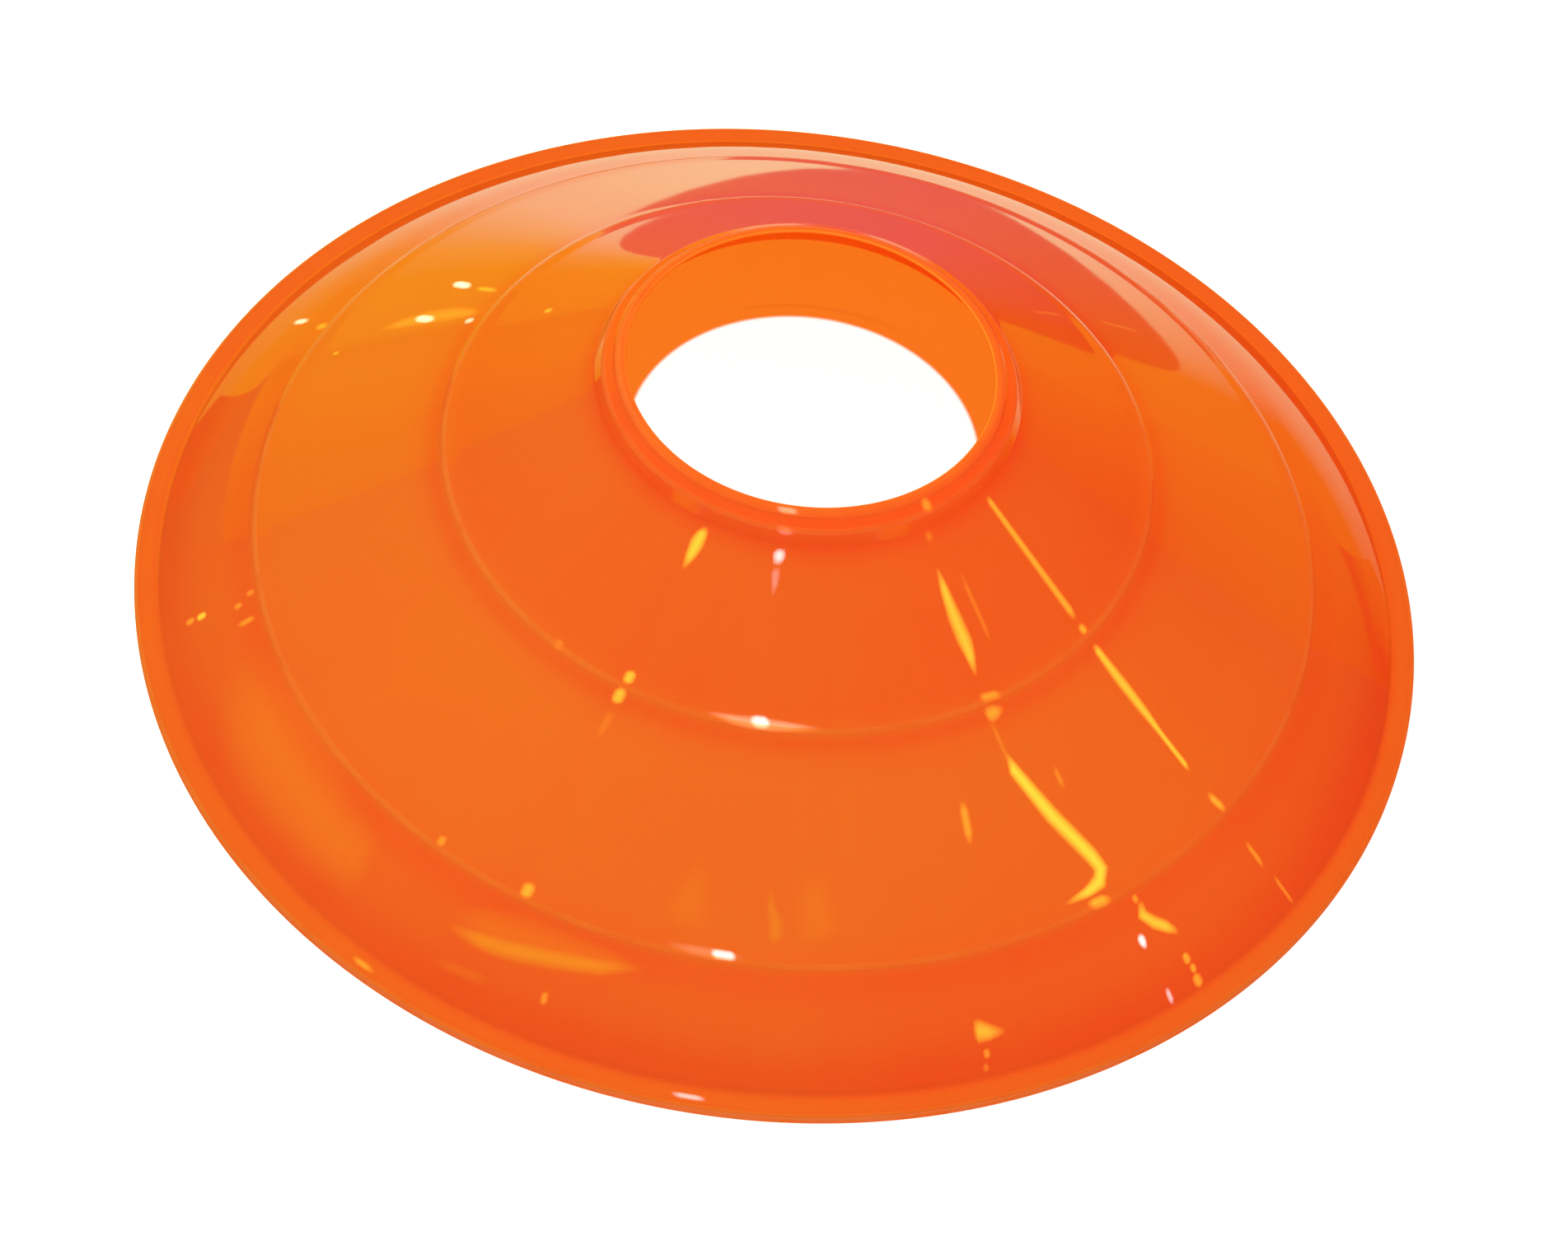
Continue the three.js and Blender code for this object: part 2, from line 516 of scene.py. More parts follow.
links.new(lamp_filter.outputs["BSDF"], surface.inputs[2])
links.new(surface.outputs["Shader"], nodes["Material Output"].inputs["Surface"])
print("nodes in the plastic:", len(nodes))

# %% Take the gloss off the hole's wall and paint it bright
HOLE_WALL_DEPTH = 5 * mm
HOLE_WALL_WIDTH = 3 * mm
# One bright colour for the wall of the hole: painted light that lifts it out of its shade
HOLE_WALL_PAINTED_LIGHT = (0.90, 0.23, 0.02, 1.0)
INWARD_LIMIT = -0.15

brightened = plastic.copy()
brightened.name = "hole_wall_painted_light"
brightened.node_tree.nodes[gloss.name].inputs["Specular IOR Level"].default_value = 0.0
for name, socket in ((gloss.name, "Base Color"), (glow.name, "Color")):
    inlet = brightened.node_tree.nodes[name].inputs[socket]
    brightened.node_tree.links.remove(inlet.links[0])
    inlet.default_value = HOLE_WALL_PAINTED_LIGHT
cone.data.materials.append(brightened)
for face in cone.data.polygons:
    out = face.center.xy
    beside_hole = out.length < HOLE_RADIUS + HOLE_WALL_WIDTH
    at_top = face.center.z > TOTAL_HEIGHT - HOLE_WALL_DEPTH
    looks_inwards = face.normal.xy.dot(out.normalized()) < INWARD_LIMIT
    face.material_index = 1 if beside_hole and at_top and looks_inwards else 0
print("faces of the trimmed wall:", sum(face.material_index for face in cone.data.polygons))

# %% [markdown]
# ## The floor
# The cone stands on a plain pale floor that runs past the edges of the picture. A curved paper
# backdrop would do as well, but no horizon shows from this high, so one flat square is enough. It is
# matt, because a shiny floor would mirror the cone.

# %% Make the floor
FLOOR_REACH = 3.0
FLOOR_COLOUR = (0.9, 0.9, 0.9, 1.0)

floor_mesh = bpy.data.meshes.new("floor")
floor_corners = [
    (-FLOOR_REACH, -FLOOR_REACH, 0.0),
    (FLOOR_REACH, -FLOOR_REACH, 0.0),
    (FLOOR_REACH, FLOOR_REACH, 0.0),
    (-FLOOR_REACH, FLOOR_REACH, 0.0),
]
floor_mesh.from_pydata(floor_corners, [], [(0, 1, 2, 3)])
floor = bpy.data.objects.new("floor", floor_mesh)
scene.collection.objects.link(floor)
floor_paint = bpy.data.materials.new("floor_paint")
floor_paint.use_nodes = True
floor_shader = floor_paint.node_tree.nodes["Principled BSDF"]
floor_shader.inputs["Base Color"].default_value = FLOOR_COLOUR
floor_shader.inputs["Roughness"].default_value = 1.0
floor_shader.inputs["Specular IOR Level"].default_value = 0.0
floor_mesh.materials.append(floor_paint)
print("width of the floor, m:", 2 * FLOOR_REACH)

# %% [markdown]
# ## Light
# One small bright lamp stands over the camera's shoulder. It shines through the hole, so the floor
# inside has one white patch and is orange all round it, where the light came through the wall. Two
# large soft lamps behind lift the far slope: a greenish one makes the left side yellower, and a red
# one makes the right side redder. A dim even sky fills the rest. The lamps are kept out of the gloss,
# because their glints are drawn by themselves in the next step. The colours are shown as they are,
# without a film curve, because a film curve would turn so strong an orange pale.

# %% Light the scene
SKY_COLOUR = (1.0, 0.98, 0.96, 1.0)
SKY_STRENGTH = 0.06

scene.view_settings.view_transform = "Standard"


def lamp(name, azimuth, elevation, distance, width, height, radiance, colour=(1.0, 1.0, 1.0)):
    """A lamp that faces the cone; radiance is how bright its face is, where a white floor is 1."""
    data = bpy.data.lights.new(name, "AREA")
    data.shape = "ELLIPSE"
    data.size = width
    data.size_y = height
    data.energy = radiance * math.pi * width * height * math.pi / 4
    data.color = colour
    made = bpy.data.objects.new(name, data)
    made.location = direction(azimuth, elevation) * distance
    made.rotation_euler = (-made.location).to_track_quat("-Z", "Y").to_euler()
    made.visible_camera = False
    made.visible_glossy = False
    scene.collection.objects.link(made)
    return made


# Name, azimuth, elevation, distance, width, height, radiance and colour
lights = [
    lamp("key", -1.0, 60.0, 2.5, 0.03, 0.03, 36000.0),
    lamp("soft_left", -122.0, 39.0, 1.5, 1.2, 1.2, 7.0, (0.62, 1.0, 0.50)),
    lamp("soft_right", 135.0, 50.0, 1.5, 1.2, 1.2, 5.5, (1.0, 0.05, 0.04)),
]
world = bpy.data.worlds.new("studio")
scene.world = world
world.use_nodes = True
background = world.node_tree.nodes["Background"]
background.inputs["Color"].default_value = SKY_COLOUR
background.inputs["Strength"].default_value = SKY_STRENGTH
print("lamps that light the cone:", len(lights))

# %% [markdown]
# ## Glints in the gloss
# Gloss shows what is around it: a small lamp leaves a dot and a long one leaves a line down the
# slope. Lamps could be moved about until their mirror images fall right, but the round slope bends
# them so much that each takes many tries. Here it is done backwards. A glint is drawn where it lies
# on the cone, through knots that are each an azimuth, a radius and a width in mm. The sight line is
# mirrored at every knot, and a thin glowing sheet hangs a short way off along the mirrored lines.
# The sheets show in mirrored light alone. They are bright along the middle and fade to nothing at
# their edges and ends.

# %% Make sheets that only show in mirrored light
SHINE = "shine"

glint_paint = bpy.data.materials.new("glint_paint")
glint_paint.use_nodes = True
glint_nodes = glint_paint.node_tree.nodes
glint_links = glint_paint.node_tree.links
shine_colour = glint_nodes.new("ShaderNodeAttribute")
shine_colour.attribute_name = SHINE
shine = glint_nodes.new("ShaderNodeEmission")
clear = glint_nodes.new("ShaderNodeBsdfTransparent")
shine_on_clear = glint_nodes.new("ShaderNodeAddShader")
glint_links.new(shine_colour.outputs["Color"], shine.inputs["Color"])
glint_links.new(shine.outputs["Emission"], shine_on_clear.inputs[0])
glint_links.new(clear.outputs["BSDF"], shine_on_clear.inputs[1])
glint_links.new(shine_on_clear.outputs["Shader"], glint_nodes["Material Output"].inputs["Surface"])


def board(name, corners, faces, paint):
    """A thin sheet that shows in mirrored light alone and lights nothing."""
    mesh = bpy.data.meshes.new(name)
    mesh.from_pydata(corners, [], faces)
    made = bpy.data.objects.new(name, mesh)
    scene.collection.objects.link(made)
    for kind in ("camera", "diffuse", "shadow", "transmission", "volume_scatter"):
        setattr(made, "visible_" + kind, False)
    paint.cycles.emission_sampling = "NONE"
    mesh.materials.append(paint)
    return mesh


print("nodes in the paint of the glints:", len(glint_nodes))

# %% Draw a glint
GLINT_REACH = 0.4 * mm
# Places across a glint, as parts of its width, and how bright it is there
FADE = ((-0.5, 0.0), (-0.26, 0.62), (0.0, 1.0), (0.26, 0.62), (0.5, 0.0))
# Places along a dot and its width there, as parts of its size
DOT_ROWS = ((-0.5, 0.5), (-0.22, 1.0), (0.22, 1.0), (0.5, 0.5))
WHITE = (0.80, 0.95, 0.95)
SPARK = (1.0, 0.95, 0.60)
YELLOW = (1.0, 0.80, 0.05)
HONEY = (0.30, 0.68, 0.01)


def mirrored_at(spot):
    """The point, a short reach off, that the camera sees mirrored at a spot of the cone's plan."""
    above = spot + Vector((0.0, 0.0, 2 * TOTAL_HEIGHT))
    _, place, facet, _ = cone.ray_cast(above, Vector((0.0, 0.0, -1.0)))
    normal = spot.normalized() * facet.xy.length + Vector((0.0, 0.0, facet.z))
    sight = (place - camera.location).normalized()
    return place + sight.reflect(normal) * GLINT_REACH


def glint(name, colour, radiance, knots):
    """A glowing sheet whose mirror image runs through knots of (azimuth, radius, width)."""
    spine = [direction(azimuth, 0.0) * radius * mm for azimuth, radius, _ in knots]
    last = len(spine) - 1
    corners = []
    shines = []
    for index, spot in enumerate(spine):
        along = spine[min(index + 1, last)] - spine[max(index - 1, 0)]
        across = along.normalized().cross(Vector((0.0, 0.0, 1.0))) * knots[index][2] * mm
        for share, strength in FADE:
            at_end = index in (0, last)
            corners.append(mirrored_at(spot + across * share))
            shines += [*(Vector(colour) * (0.0 if at_end else radiance * strength)), 1.0]
    count = len(FADE)
    starts = [row * count + step for row in range(last) for step in range(count - 1)]
    faces = [(i, i + 1, i + 1 + count, i + count) for i in starts]
    mesh = board(name, corners, faces, glint_paint)
    mesh.attributes.new(SHINE, "FLOAT_COLOR", "POINT").data.foreach_set("color", shines)


def dot(name, colour, radiance, azimuth, radius, size):
    """A small round glint."""
    knots = [(azimuth, radius + along * size, wide * size) for along, wide in DOT_ROWS]
    glint(name, colour, radiance, knots)


def count_glints():
    """How many glints have been drawn."""
    return sum(thing.active_material == glint_paint for thing in scene.objects)


bpy.context.view_layer.update()
print("reach of the glints' sheets, mm:", GLINT_REACH / mm)

# %% [markdown]
# ## The glints, one by one
# The front carries a row of white glints, one on each edge that turns towards the camera: the lip,
# the shelf, the collar, both rings and the flange. Yellow lines run down the right side and break
# where they cross a ring. The left side has soft honey-coloured patches, small dots and, far back, a
# few sparks. They could be strewn at random, but then they would not fall where they are seen, so
# each is placed by its own knots for this one camera. They stay there when the camera moves, where
# true reflections would slide.

# %% Draw the white glints
glint("lip_glint", WHITE, 18, [
    (-4.2, 27.3, 0.8), (-2.2, 27.3, 0.9), (0.6, 27.3, 0.9), (2.4, 27.3, 0.8),
])
glint("shelf_glint", WHITE, 6, [
    (-3.2, 29.5, 0.6), (-1.5, 29.5, 0.8), (0.1, 29.5, 0.8), (1.7, 29.5, 0.6),
])
glint("collar_spot", WHITE, 24, [
    (-1.2, 30.9, 1.3), (-1.2, 31.5, 1.9), (-1.2, 32.0, 1.9), (-1.2, 32.9, 1.3),
])
glint("collar_tail", WHITE, 5, [
    (-1.4, 33.0, 1.2), (-1.4, 33.7, 1.4), (-1.2, 34.8, 1.2), (-1.1, 36.4, 0.6),
])
glint("inner_ring_spot", WHITE, 32, [
    (-1.7, 50.5, 1.2), (-0.6, 50.5, 1.7), (0.6, 50.5, 1.7), (1.7, 50.5, 1.2),
])
glint("inner_ring_halo", SPARK, 9, [
    (-8.5, 50.7, 0.6), (-4.5, 50.7, 1.2), (-2.0, 50.7, 1.6), (2.0, 50.7, 1.6), (5.0, 50.7, 1.2),
    (9.5, 50.7, 0.6),
])
glint("outer_ring_spot", WHITE, 30, [
    (-1.7, 77.1, 1.0), (-1.1, 77.1, 1.3), (0.4, 77.1, 1.3), (1.0, 77.1, 1.0),
])
glint("outer_ring_halo", SPARK, 3.5, [
    (-6.5, 77.1, 0.8), (-3.5, 77.1, 1.4), (-1.0, 77.1, 1.5), (2.0, 77.1, 0.8),
])
glint("flange_glint", WHITE, 15, [
    (-3.0, 93.3, 0.8), (-2.2, 93.3, 1.1), (-0.8, 93.3, 1.1), (0.0, 93.3, 0.8),
])
glint("right_spark", WHITE, 30, [
    (43.2, 82.7, 0.9), (43.2, 83.3, 1.5), (43.2, 83.9, 1.4), (43.3, 84.6, 0.8),
])
glint("right_low_spark", WHITE, 14, [
    (43.5, 89.4, 0.7), (43.5, 90.0, 1.0), (43.5, 90.8, 1.0), (43.5, 91.4, 0.7),
])
print("white glints:", count_glints())

# %% Draw the yellow glints on the right
glint("right_line_upper", YELLOW, 10, [
    (59.4, 31.2, 0.9), (59.4, 32.0, 1.2), (59.3, 40.0, 1.4), (59.3, 47.6, 1.5), (59.3, 48.8, 1.0),
])
dot("right_bead", YELLOW, 10, 59.1, 50.2, 1.5)
glint("right_line_middle", YELLOW, 15, [
    (59.0, 52.3, 0.9), (59.0, 53.3, 1.5), (59.0, 57.7, 2.0), (59.1, 62.0, 1.8), (59.1, 65.3, 1.1),
    (59.2, 70.2, 1.1), (59.2, 71.2, 0.7),
])
glint("right_dot", YELLOW, 10, [
    (59.3, 74.6, 1.0), (59.4, 75.6, 1.5), (59.6, 76.8, 1.5), (59.7, 77.8, 1.0),
])
glint("right_dash", YELLOW, 6, [
    (59.4, 82.0, 0.7), (59.4, 83.0, 1.0), (59.4, 84.8, 1.0), (59.4, 85.8, 0.7),
])
glint("right_low_dash", YELLOW, 5, [
    (59.8, 87.2, 0.6), (59.8, 88.2, 0.8), (59.9, 90.4, 0.8), (60.0, 91.4, 0.6),
])
glint("spindle", YELLOW, 17, [
    (37.3, 35.0, 0.6), (37.2, 37.5, 1.5), (37.1, 41.0, 2.4), (37.3, 43.8, 2.6), (37.2, 45.8, 1.7),
    (37.0, 48.0, 0.6),
])
glint("spindle_hair", YELLOW, 3, [
    (42.3, 36.6, 0.7), (42.2, 38.5, 0.9), (42.1, 43.5, 0.9), (42.0, 45.2, 0.7),
])
glint("ring_dash", YELLOW, 9, [
    (36.0, 50.5, 1.0), (36.9, 50.6, 1.3), (38.8, 50.8, 1.3), (39.9, 51.0, 0.8),
])
glint("ring_dot", YELLOW, 10, [
    (35.9, 52.7, 1.4), (36.7, 52.6, 2.2), (37.8, 52.5, 2.0), (39.3, 52.3, 0.9),
])
glint("ring_link", YELLOW, 2.5, [
    (36.5, 53.2, 0.8), (36.6, 54.5, 0.9), (36.8, 57.0, 0.9), (36.9, 58.5, 0.8),
])
glint("streak", YELLOW, 21, [
    (36.9, 57.4, 0.6), (37.1, 59.4, 2.0), (39.6, 66.0, 2.6), (42.1, 72.1, 2.6), (42.5, 74.0, 2.6),
    (41.7, 75.2, 2.3), (39.9, 75.7, 1.5), (37.0, 76.0, 0.6),
])
glint("streak_drop", YELLOW, 13, [
    (39.2, 77.2, 1.0), (40.1, 77.3, 1.6), (41.2, 77.4, 1.6), (42.1, 77.5, 1.0),
])
glint("hook", YELLOW, 17, [
    (44.9, 79.4, 1.2), (44.5, 81.0, 2.0), (45.3, 82.5, 2.0), (46.3, 83.7, 1.8), (47.3, 84.9, 0.9),
])
dot("hook_speck", YELLOW, 7, 44.6, 79.0, 1.2)
low_right_dots = ((46.7, 87.9, 1.5), (46.9, 89.2, 1.2), (46.8, 90.6, 1.8))
for count, (azimuth, radius, size) in enumerate(low_right_dots):
    dot(f"low_right_dot_{count}", YELLOW, 10, azimuth, radius, size)
glint("wedge", YELLOW, 14, [
    (24.0, 86.4, 2.2), (24.5, 86.5, 2.9), (25.4, 86.8, 2.2), (27.1, 87.1, 0.7),
])
dot("wedge_drop", YELLOW, 7, 24.9, 89.0, 1.2)
dot("wedge_speck", YELLOW, 4, 24.6, 90.4, 1.0)
glint("front_right_dash", YELLOW, 8, [
    (28.6, 60.8, 0.8), (28.6, 62.0, 1.5), (28.4, 64.5, 1.5), (28.3, 66.0, 0.8),
])
glint("front_right_speck", YELLOW, 4, [
    (42.7, 61.0, 0.8), (42.7, 62.0, 1.1), (42.7, 63.0, 1.1), (42.7, 64.0, 0.8),
])
dot("lip_dot", YELLOW, 8, 40.4, 28.7, 1.8)
dot("collar_dot", YELLOW, 3, 38.5, 31.4, 1.4)
glint("far_right_hair", YELLOW, 0.6, [
    (132.3, 41.5, 0.6), (132.3, 43.0, 0.9), (132.6, 47.0, 0.9), (132.7, 48.5, 0.6),
])
glint("far_right_thread", YELLOW, 0.7, [
    (132.3, 56.0, 0.6), (132.2, 57.5, 0.9), (131.3, 62.5, 0.9), (131.1, 64.0, 0.6),
])
print("glints so far:", count_glints())

# %% Draw the glints on the left
glint("front_left_spot", YELLOW, 20, [
    (-21.3, 31.0, 1.0), (-21.4, 31.9, 1.9), (-21.6, 33.1, 2.4), (-21.7, 34.6, 1.8),
    (-21.8, 36.4, 0.7),
])
dot("inner_ring_dot_upper", YELLOW, 17, -22.1, 49.9, 1.9)
dot("inner_ring_dot_lower", YELLOW, 16, -22.3, 52.3, 2.1)
glint("inner_ring_trail", YELLOW, 2, [
    (-22.2, 54.0, 1.0), (-22.2, 55.0, 1.5), (-22.3, 56.5, 1.5), (-22.4, 57.8, 1.0),
])
dot("inner_ring_speck", YELLOW, 4, -35.0, 50.9, 1.4)
dot("outer_ring_dot", YELLOW, 12, -21.8, 76.6, 2.2)
dot("outer_ring_speck", YELLOW, 7, -32.6, 76.8, 1.5)
glint("patch_edge", HONEY, 5, [
    (-27.5, 84.4, 1.0), (-24.0, 84.1, 2.2), (-21.4, 83.7, 2.6), (-16.7, 82.6, 2.6),
    (-12.0, 81.6, 2.2), (-7.6, 80.2, 0.8),
])
glint("patch", HONEY, 2.0, [
    (-27.5, 83.0, 2.0), (-24.0, 82.2, 5.0), (-20.0, 81.4, 5.4), (-15.0, 80.8, 4.0),
    (-11.0, 80.4, 2.4), (-8.5, 80.2, 1.0),
])
glint("front_left_dot", YELLOW, 7, [
    (-16.1, 86.0, 0.8), (-16.1, 86.5, 1.2), (-16.0, 87.1, 1.2), (-16.0, 87.6, 0.8),
])
glint("left_rim_spark", YELLOW, 8, [
    (-33.4, 93.4, 1.0), (-32.6, 93.4, 1.3), (-31.8, 93.4, 1.3), (-30.9, 93.4, 0.9),
])
glint("low_left_smear", HONEY, 1.5, [
    (-27.0, 88.2, 0.9), (-25.4, 88.1, 1.5), (-22.6, 87.7, 1.5), (-21.0, 87.5, 0.9),
])
glint("left_glow", HONEY, 1.9, [
    (-66.0, 83.0, 7.0), (-58.0, 82.9, 13.0), (-52.0, 83.2, 14.0), (-47.0, 83.8, 12.0),
    (-43.0, 84.5, 10.0), (-39.0, 84.6, 8.5), (-36.8, 84.8, 7.0),
])
glint("front_stripe_left", HONEY, 1.2, [
    (-4.6, 67.0, 2.0), (-4.8, 70.0, 4.5), (-5.0, 73.2, 7.0), (-5.2, 75.0, 8.0),
])
glint("front_stripe_middle", HONEY, 2.4, [
    (3.8, 68.8, 0.6), (4.1, 71.0, 1.3), (4.8, 73.0, 2.6), (4.8, 74.4, 2.4), (4.6, 75.4, 1.6),
])
glint("front_stripe_right", HONEY, 1.2, [
    (8.8, 66.5, 4.0), (9.0, 69.5, 5.6), (9.4, 73.5, 6.6), (9.5, 75.2, 6.6),
])
dot("left_dot_outer", YELLOW, 6, -72.8, 87.5, 1.4)
dot("left_dot_middle", YELLOW, 15, -72.6, 85.9, 1.5)
dot("left_dot_inner", YELLOW, 6, -71.4, 80.9, 1.3)
dot("left_dot_upper", YELLOW, 5, -72.2, 79.0, 1.3)
glint("left_dash", YELLOW, 6, [
    (-69.0, 79.0, 1.0), (-69.0, 79.7, 1.3), (-69.0, 80.8, 1.3), (-69.0, 81.6, 0.9),
])
glint("far_left_spark", SPARK, 14, [
    (-119.8, 62.9, 1.0), (-119.5, 61.7, 1.9), (-119.1, 60.0, 1.9), (-118.7, 58.7, 1.0),
])
glint("far_left_tail", YELLOW, 4, [
    (-118.5, 57.8, 0.9), (-118.3, 56.6, 1.3), (-117.9, 54.6, 1.3), (-117.6, 53.2, 0.8),
])
glint("left_spark", SPARK, 14, [
    (-111.9, 63.7, 1.0), (-111.6, 62.6, 2.0), (-111.2, 61.0, 2.0), (-110.9, 59.8, 1.0),
])
glint("left_spark_glow", YELLOW, 2.2, [
    (-109.8, 68.2, 0.8), (-110.7, 65.5, 2.8), (-111.6, 62.0, 4.2), (-112.0, 58.0, 4.0),
    (-112.0, 55.0, 2.8), (-111.8, 52.6, 1.0),
])
dot("left_spark_end", SPARK, 9, -109.9, 53.7, 1.6)
dot("upper_left_speck", YELLOW, 5, -110.1, 41.3, 1.4)
dot("middle_left_speck", YELLOW, 4, -106.2, 73.1, 1.1)
glint("outer_left_spark", SPARK, 10, [
    (-112.9, 85.3, 1.0), (-112.9, 84.4, 1.7), (-112.9, 83.4, 1.7), (-113.0, 82.5, 1.0),
])
dot("outer_left_speck", YELLOW, 4, -111.7, 79.3, 2.0)
print("glints in all:", count_glints())

# %% [markdown]
# ## What the far slope mirrors
# At a low angle the far slope mirrors the floor behind it, so what lies there decides how the gloss
# looks. Painted boards, which show in mirrored light alone, take the floor's place. A wide ring is pale
# in the middle and blends to amber on the left and orange on the right, by a Color Ramp across it. A
# narrow ring round the foot keeps the flange's edge orange. A round coral board close behind keeps the
# slope above the outer ring from turning white, and two dim boards at the sides keep the slope there
# deep. Upright amber and orange walls farther off are what the sides and the lip mirror.

# %% Paint a board across
BOARD_REACH = 2.5
CIRCLE_STEPS = 48


def paint_across(name, stops):
    """A paint that shines in colours that blend from one X to the next."""
    paint = bpy.data.materials.new(name)
    paint.use_nodes = True
    tree = paint.node_tree
    first, last = stops[0][0], stops[-1][0]
    place_on_board = tree.nodes.new("ShaderNodeTexCoord")
    sideways = tree.nodes.new("ShaderNodeSeparateXYZ")
    to_share = tree.nodes.new("ShaderNodeMapRange")
    to_share.inputs["From Min"].default_value = first
    to_share.inputs["From Max"].default_value = last
    blend = tree.nodes.new("ShaderNodeValToRGB")
    for _ in stops[2:]:
        blend.color_ramp.elements.new(1.0)
    for element, (x, colour) in zip(blend.color_ramp.elements, stops):
        element.position = (x - first) / (last - first)
        element.color = (*colour, 1.0)
    blended_shine = tree.nodes.new("ShaderNodeEmission")
    tree.links.new(place_on_board.outputs["Object"], sideways.inputs["Vector"])
    tree.links.new(sideways.outputs["X"], to_share.inputs["Value"])
    tree.links.new(to_share.outputs["Result"], blend.inputs["Fac"])
    tree.links.new(blend.outputs["Color"], blended_shine.inputs["Color"])
    output = tree.nodes["Material Output"]
    tree.links.new(blended_shine.outputs["Emission"], output.inputs["Surface"])
    return paint


def flat_board(name, corners, stops):
    """A board of one face, painted across."""
    board(name, corners, [tuple(range(len(corners)))], paint_across(name, stops))


def circle(radius, height, centre_x=0.0, centre_y=0.0):
    """Points round a level circle."""
    centre = Vector((centre_x, centre_y, height))
    turns = [math.tau * step / CIRCLE_STEPS for step in range(CIRCLE_STEPS)]
    spokes = [Vector((math.cos(turn), math.sin(turn), 0.0)) for turn in turns]
    return [centre + spoke * radius for spoke in spokes]


print("reach of the boards, m:", BOARD_REACH)

# %% Lay the painted floor
AMBER = (1.25, 1.10, 0.01)
PALE = (1.45, 1.78, 1.15)
PEACH = (1.35, 1.30, 0.60)
ORANGE = (1.20, 0.75, 0.02)
BLUSH = (1.35, 1.26, 0.20)
FOOT = (1.60, 0.28, 0.02)
FLOOR_STOPS = (
    (-0.115, AMBER), (-0.088, BLUSH), (-0.060, PALE), (0.045, PALE), (0.089, PEACH), (0.115, ORANGE),
)
FOOT_STOPS = ((-1.0, FOOT), (1.0, FOOT))
FOOT_GAP = 0.02 * mm
FOOT_RING = 2.5 * mm
PAINTED_FLOOR_HEIGHT = 0.1 * mm
FOOT_RING_HEIGHT = 0.2 * mm


def ring_board(name, inner_radius, outer_radius, height, stops):
    """A painted ring that lies level round the cone."""
    inner, outer = (circle(radius, height) for radius in (inner_radius, outer_radius))
    count = len(inner)
    faces = [(i, (i + 1) % count, (i + 1) % count + count, i + count) for i in range(count)]
    board(name, inner + outer, faces, paint_across(name, stops))


foot_start = BASE_RADIUS + FOOT_GAP
foot_end = BASE_RADIUS + FOOT_RING
ring_board("painted_floor", foot_start, BOARD_REACH, PAINTED_FLOOR_HEIGHT, FLOOR_STOPS)
ring_board("foot_ring", foot_start, foot_end, FOOT_RING_HEIGHT, FOOT_STOPS)
print("outer radius of the foot ring, mm:", round(foot_end / mm, 1))

# %% Lay the coral board and the dim boards
SMALL_BOARD_HEIGHT = 0.3 * mm
CORAL_RADIUS = 0.100
CORAL_X = 0.020
CORAL_Y = 0.2045
CORAL_STOPS = ((0.020, (0.90, 0.15, 0.28)), (0.095, (0.80, 0.16, 0.03)))
DIM = (0.70, 0.05, 0.01)
DIM_STOPS = {
    -1: ((-1.0, DIM), (1.0, DIM)),
    1: ((0.101, (1.20, 0.70, 0.02)), (0.130, (0.90, 0.35, 0.01)), (0.170, DIM)),
}
DIM_X = 0.101
DIM_Y = 0.037
DIM_NEAR_Y = -0.5
DIM_AZIMUTH = 141.0

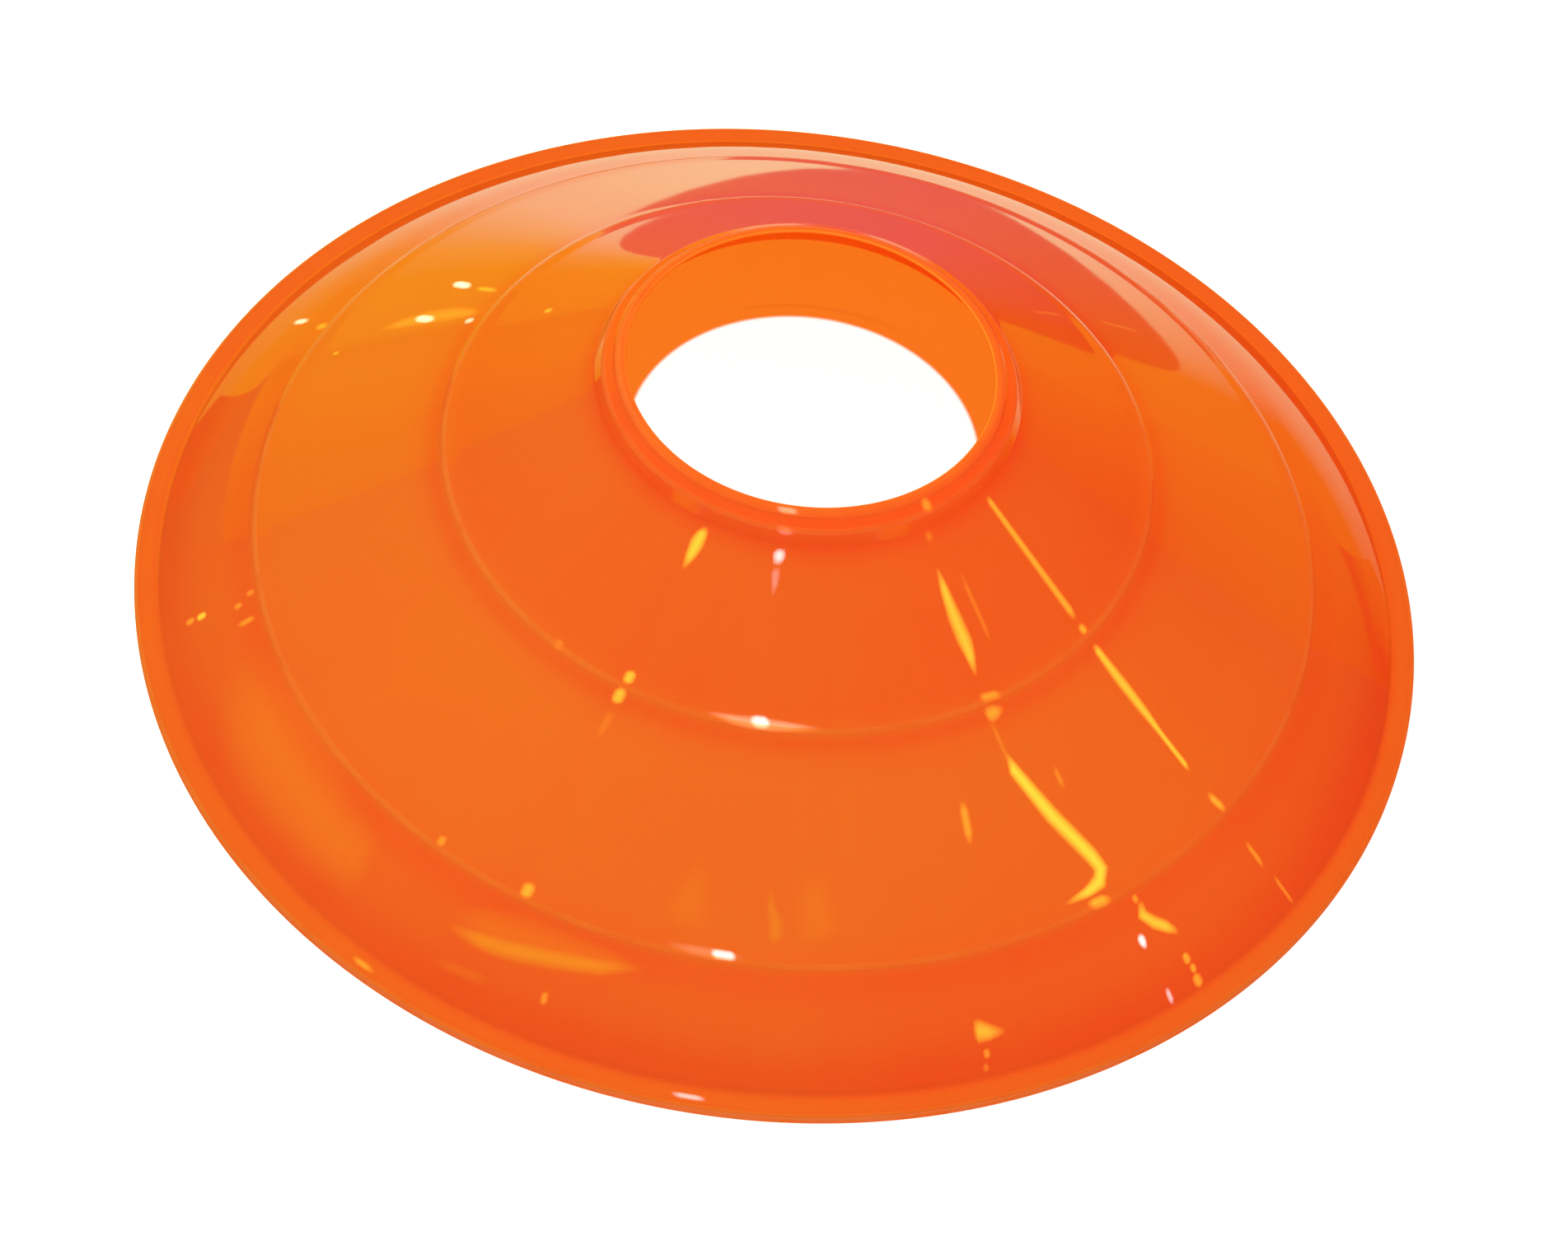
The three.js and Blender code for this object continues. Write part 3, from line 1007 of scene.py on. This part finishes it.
coral = circle(CORAL_RADIUS, SMALL_BOARD_HEIGHT, CORAL_X, CORAL_Y)
flat_board("coral_board", coral, CORAL_STOPS)
for side, name in ((-1, "dim_left"), (1, "dim_right")):
    foot = Vector((side * DIM_X, DIM_Y, SMALL_BOARD_HEIGHT))
    near_end = Vector((foot.x, DIM_NEAR_Y, foot.z))
    far_end = Vector((side * BOARD_REACH, DIM_NEAR_Y, foot.z))
    edge_end = foot + direction(side * DIM_AZIMUTH, 0.0) * BOARD_REACH
    flat_board(name, [foot, edge_end, far_end, near_end], DIM_STOPS[side])
print("azimuth where the dim boards start:", DIM_AZIMUTH)

# %% Stand the walls
WALL_DISTANCE = 2.2
WALL_ELEVATION = math.radians(35.0)
WALL_TOP = WALL_DISTANCE * math.tan(WALL_ELEVATION)
FAR_EDGE = 172.0
BEND_SHARE = 0.4
WALL_AMBER = (0.96, 0.82, 0.0)
# Shares of the way from a wall's near end to its far end, and the colours there
AMBER_PAINTS = (
    (0.0, (0.45, 0.36, 0.0)), (0.15, (0.62, 0.50, 0.0)), (0.29, (0.92, 0.76, 0.0)), (1.0, WALL_AMBER),
)
ORANGE_PAINTS = ((0.0, (0.30, 0.18, 0.0)), (0.35, (1.00, 0.62, 0.02)), (1.0, ORANGE))

top = Vector((0.0, 0.0, WALL_TOP))


def wall_foot(azimuth):
    """A point on the floor at the distance of the walls."""
    return direction(azimuth, 0.0) * WALL_DISTANCE


def side_wall(name, side, near_edge, near_lift, paints):
    """An upright board behind the cone whose lower edge rises towards its near end."""
    near_foot = wall_foot(side * near_edge)
    far_foot = wall_foot(side * FAR_EDGE)
    lift = Vector((0.0, 0.0, WALL_DISTANCE * math.tan(math.radians(near_lift))))
    bend = near_foot.lerp(far_foot, BEND_SHARE)
    stops = [(near_foot.lerp(far_foot, share).x, colour) for share, colour in paints]
    corners = [near_foot + lift, bend, far_foot, far_foot + top, near_foot + top]
    flat_board(name, corners, sorted(stops))


side_wall("amber_wall", side=-1, near_edge=121.0, near_lift=15.5, paints=AMBER_PAINTS)
side_wall("orange_wall", side=1, near_edge=126.0, near_lift=0.0, paints=ORANGE_PAINTS)
left = wall_foot(-FAR_EDGE)
right = wall_foot(FAR_EDGE)
back_stops = ((left.x, WALL_AMBER), (right.x, ORANGE))
flat_board("back_wall", [left, right, right + top, left + top], back_stops)
print("height of the walls, m:", round(WALL_TOP, 2))
